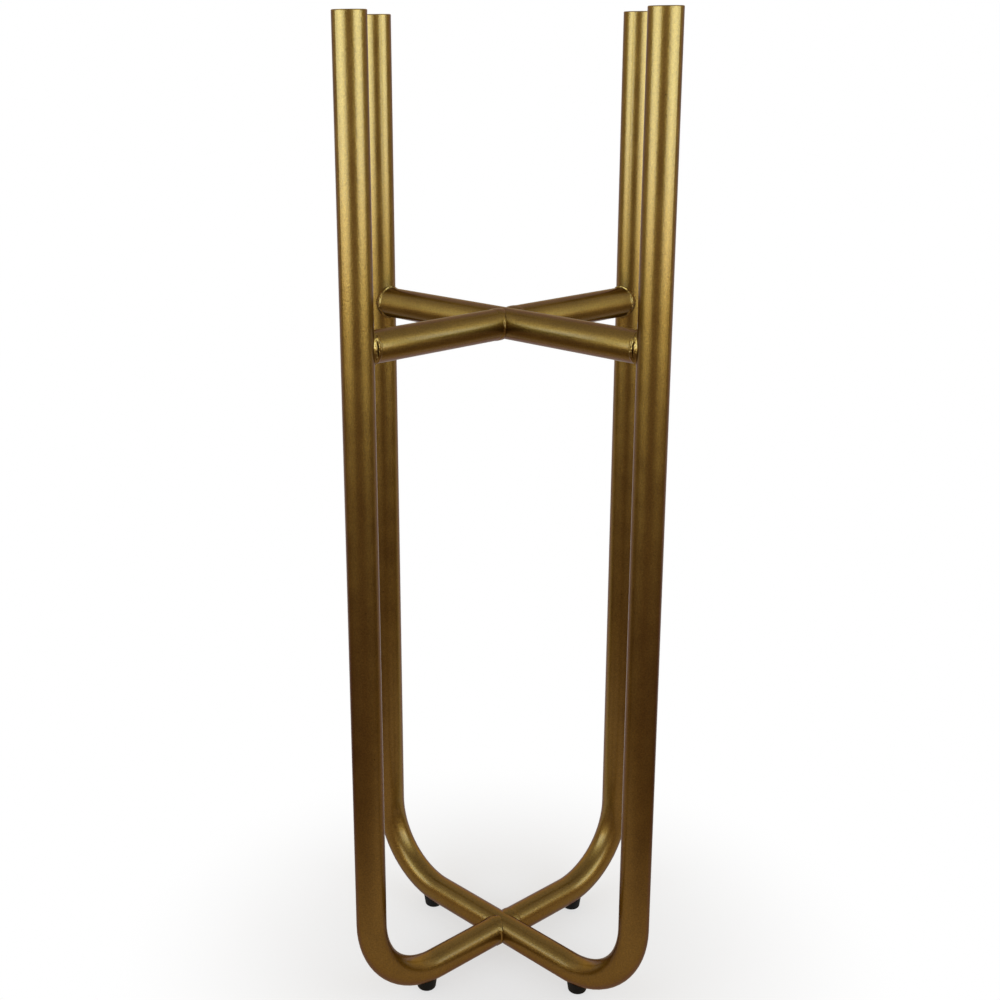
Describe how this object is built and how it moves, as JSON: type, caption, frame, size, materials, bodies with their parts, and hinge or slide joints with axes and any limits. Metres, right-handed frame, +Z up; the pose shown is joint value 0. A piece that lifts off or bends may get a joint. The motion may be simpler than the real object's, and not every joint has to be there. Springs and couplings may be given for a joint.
{
  "type": "plant stand",
  "caption": "Tall free-standing plant stand of round gold-painted tube: crossed hoops make the base and legs, and a pot rests on crossed rails between the leg tops.",
  "frame": {"origin": "on the floor, below the middle of the stand, where the two hoops cross", "axes": "+Z up along the legs; the front is -Y and the left is -X, and the legs stand on the two diagonals between X and Y"},
  "size_m": [0.24, 0.24, 0.806],
  "materials": {
    "gold_paint": "satin metallic gold paint with a fine grain",
    "gold_paint_weld": "the same gold paint over a rippled weld",
    "black_rubber": "matte"
  },
  "bodies": {
    "root": {"hoop_full": "gold_paint", "half_hoop_front_left": "gold_paint", "half_hoop_back_right": "gold_paint", "rail_full": "gold_paint", "half_rail_front_left": "gold_paint", "half_rail_back_right": "gold_paint", "leg_cap_front_left": "gold_paint", "leg_cap_front_right": "gold_paint", "leg_cap_back_left": "gold_paint", "leg_cap_back_right": "gold_paint", "foot_front_left": "black_rubber", "foot_front_right": "black_rubber", "foot_back_left": "black_rubber", "foot_back_right": "black_rubber", "weld_rail_front_left": "gold_paint_weld", "weld_rail_front_right": "gold_paint_weld", "weld_rail_back_left": "gold_paint_weld", "weld_rail_back_right": "gold_paint_weld", "weld_rail_cross_front": "gold_paint_weld", "weld_rail_cross_back": "gold_paint_weld", "weld_hoop_cross_front": "gold_paint_weld", "weld_hoop_cross_back": "gold_paint_weld"}
  },
  "joints": []
}
